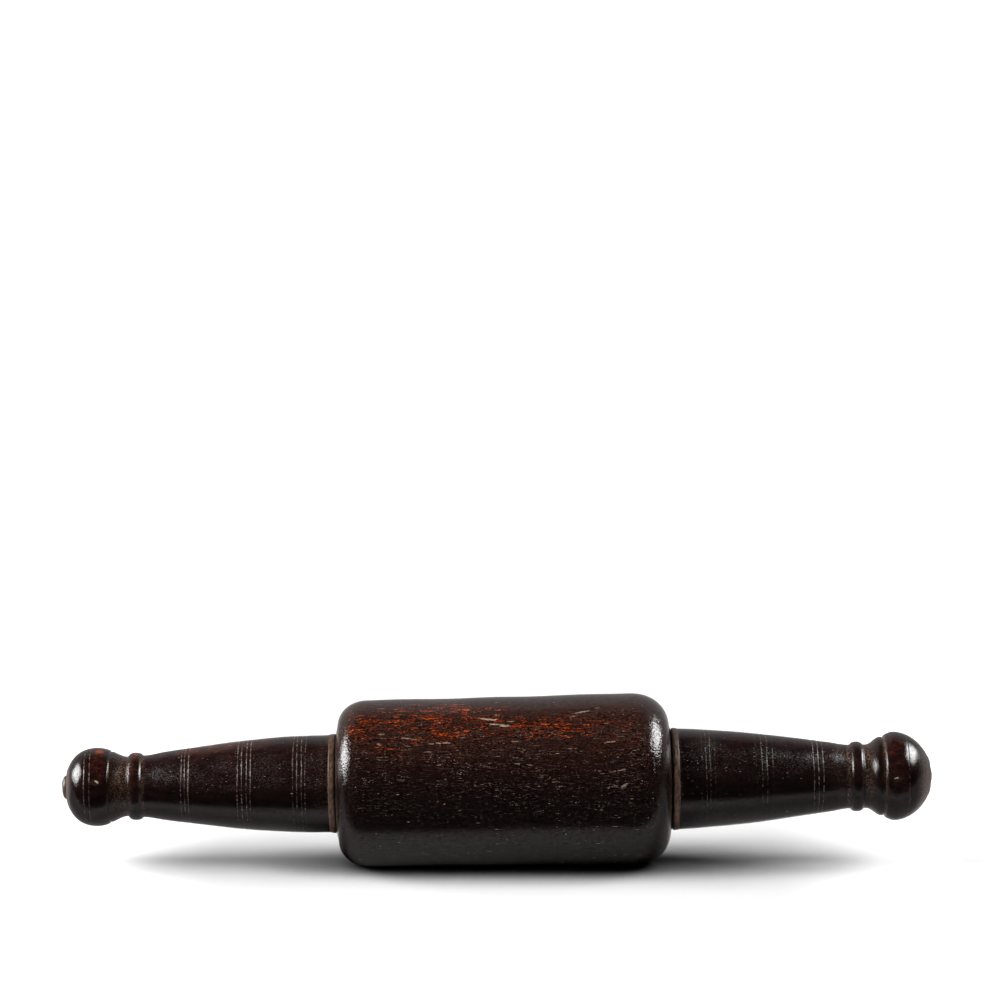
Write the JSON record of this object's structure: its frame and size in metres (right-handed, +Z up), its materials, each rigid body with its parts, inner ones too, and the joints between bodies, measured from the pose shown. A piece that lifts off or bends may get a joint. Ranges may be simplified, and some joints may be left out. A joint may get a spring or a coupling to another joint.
{
  "type": "wooden mallet",
  "caption": "Two-handled turned wooden mallet or roller: a heavy tapered barrel turning on a through axle, with a bead and a round knob at the end of each handle.",
  "frame": {"origin": "middle of the overall length, in the plane that the tool lies on", "axes": "+X along the tool from the slimmer knob to the stouter stepped knob, +Z up from the surface that it lies on, -Y towards the side with the raised peg ends"},
  "size_m": [0.406, 0.0808, 0.0804],
  "materials": {
    "barrel_wood": "near-black brown hardwood with orange-red figure, old wax polish, semi-gloss",
    "handle_wood": "near-black brown hardwood, hand-worn wax polish, glossy",
    "axle_wood": "grey-brown end grain, dull",
    "peg_wood": "brown end grain, waxed over",
    "bush_wood": "plain boxwood, satin",
    "washer_leather": "waxed leather, dusty, matt"
  },
  "bodies": {
    "spindle": {"axle": "axle_wood", "left_handle": "handle_wood", "right_handle": "handle_wood", "left_thrust_washer": "washer_leather", "right_thrust_washer": "washer_leather", "left_cross_peg": "peg_wood", "right_cross_peg": "peg_wood"},
    "roller": {"barrel": "barrel_wood", "left_bush": "bush_wood", "right_bush": "bush_wood"}
  },
  "joints": [
    {"name": "barrel_spin", "type": "hinge", "parent": "spindle", "child": "roller", "pos_m": [0, 0, 0.03918], "axis": [0.9999, 0, 0.0141], "continuous": true}
  ]
}
